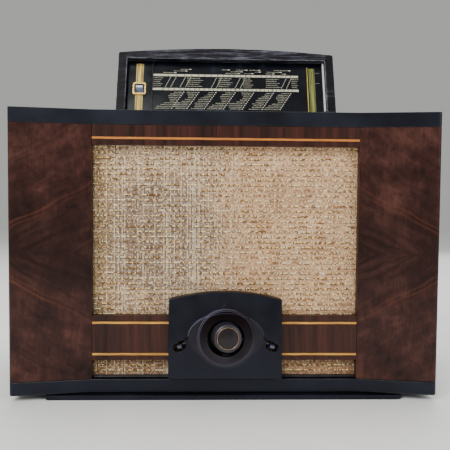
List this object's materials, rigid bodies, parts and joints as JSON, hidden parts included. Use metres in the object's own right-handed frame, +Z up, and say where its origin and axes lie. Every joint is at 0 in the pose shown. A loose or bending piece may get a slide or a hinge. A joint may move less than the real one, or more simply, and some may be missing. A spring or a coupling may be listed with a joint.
{
  "type": "table radio",
  "caption": "Wide wooden table radio with a tilt-up dial, tweed grille between angled walnut wings, and a single multi-way knob in a black escutcheon.",
  "frame": {"origin": "centre of the plinth's flat underside", "axes": "+X to the right as seen from the front, -Y out of the front, +Z up"},
  "size_m": [0.564, 0.2849, 0.4892],
  "materials": {
    "walnut": "semi-gloss varnish over flame-figured veneer",
    "rail_wood": "semi-gloss varnish",
    "black_lacquer": "black satin lacquer",
    "inlay_wood": "orange-gold veneer strip under varnish",
    "grille_cloth": "beige and brown tweed weave with slubs",
    "plywood": "raw",
    "fibreboard": "raw hardboard",
    "black_bakelite": "black moulded phenolic, satin",
    "dial_ebonised": "black moulded phenolic, worn to brown at the edges",
    "knob_bakelite": "polished brown-black phenolic",
    "brass": "aged",
    "steel": "zinc plated",
    "painted_steel": "satin black",
    "aluminium": "satin",
    "valve_glass": "clear",
    "paper": "matt pressed paper",
    "dial_glass": "back-printed black with cream and gold",
    "white_diffuser": "translucent white"
  },
  "bodies": {
    "cabinet": {"left_wing": "walnut", "right_wing": "walnut", "left_side": "walnut", "right_side": "walnut", "top_rail": "rail_wood", "lower_rail_left": "rail_wood", "lower_rail_right": "rail_wood", "base_board": "black_lacquer", "top_board": "black_lacquer", "foot_skid": "black_lacquer", "bottom_bead": "black_lacquer", "top_inlay": "inlay_wood", "upper_inlay_left": "inlay_wood", "upper_inlay_right": "inlay_wood", "lower_inlay_left": "inlay_wood", "lower_inlay_right": "inlay_wood", "grille_cloth": "grille_cloth", "baffle_board": "plywood", "rear_cover": "fibreboard", "escutcheon": "black_bakelite", "mains_inlet": "black_bakelite", "cover_screw_1": "brass", "cover_screw_2": "brass", "cover_screw_3": "brass", "cover_screw_4": "brass", "control_bracket": "steel", "hinge_pin_left": "steel", "hinge_pin_right": "steel", "gang_frame": "steel", "speaker_magnet": "steel", "speaker_basket": "painted_steel", "dial_well": "painted_steel", "mains_transformer": "painted_steel", "output_transformer": "painted_steel", "chassis_tray": "aluminium", "smoothing_capacitor": "aluminium", "if_can_1": "aluminium", "valve_1": "valve_glass", "valve_2": "valve_glass", "valve_3": "valve_glass", "aerial_strip": "paper"},
    "dial_unit": {"dial_frame": "dial_ebonised", "dial_housing": "painted_steel", "dial_plate": "dial_glass", "pointer_rail": "steel", "eye_bezel": "brass", "eye_lens": "dial_glass", "dial_lamp_left": "valve_glass", "dial_lamp_right": "valve_glass", "edge_diffuser": "white_diffuser"},
    "pointer": {"pointer": "brass"},
    "tone_yoke": {"tone_yoke": "steel"},
    "volume_cradle": {"volume_cradle": "brass"},
    "tuning_knob": {"knob_cap": "knob_bakelite", "knob_ring": "brass", "ball_skirt": "black_bakelite", "knob_shaft": "steel"},
    "wave_lever": {"wave_lever": "black_bakelite"},
    "gang_rotor": {"gang_rotor": "aluminium"},
    "speaker_cone": {"speaker_cone": "paper"}
  },
  "joints": [
    {"name": "dial_tilt", "type": "hinge", "parent": "cabinet", "child": "dial_unit", "pos_m": [0.0013, -0.0589, 0.374], "axis": [-1, 0, 0], "range_deg": [0, 71.2]},
    {"name": "pointer_slide", "type": "slide", "parent": "dial_unit", "child": "pointer", "axis": [1, 0, 0], "range_m": [0, 0.2125]},
    {"name": "tone_swing", "type": "hinge", "parent": "cabinet", "child": "tone_yoke", "pos_m": [0.0007, -0.12, 0.084], "axis": [0, 0, 1], "range_deg": [-10, 2]},
    {"name": "volume_swing", "type": "hinge", "parent": "tone_yoke", "child": "volume_cradle", "pos_m": [0.0007, -0.12, 0.084], "axis": [0.9962, 0.0872, 0], "range_deg": [-2, 10]},
    {"name": "tuning_spin", "type": "hinge", "parent": "volume_cradle", "child": "tuning_knob", "pos_m": [0.0007, -0.12, 0.084], "axis": [0.0868, -0.9924, 0.0872], "range_deg": [0, 1800]},
    {"name": "gang_turn", "type": "hinge", "parent": "cabinet", "child": "gang_rotor", "pos_m": [0.035, -0.022, 0.12], "axis": [1, 0, 0], "range_deg": [0, 180]},
    {"name": "wave_select", "type": "hinge", "parent": "cabinet", "child": "wave_lever", "pos_m": [0.0007, -0.12, 0.0851], "axis": [0, -1, 0], "range_deg": [-3, 3]},
    {"name": "cone_travel", "type": "slide", "parent": "cabinet", "child": "speaker_cone", "axis": [0, -1, 0], "range_m": [-0.001, 0.001], "stiffness_N_per_m": 1500}
  ],
  "couplings": [
    {"joint": "gang_turn", "follows": "tuning_spin", "ratio": 0.1},
    {"joint": "pointer_slide", "follows": "tuning_spin", "m_per_rad": 0.00675}
  ]
}
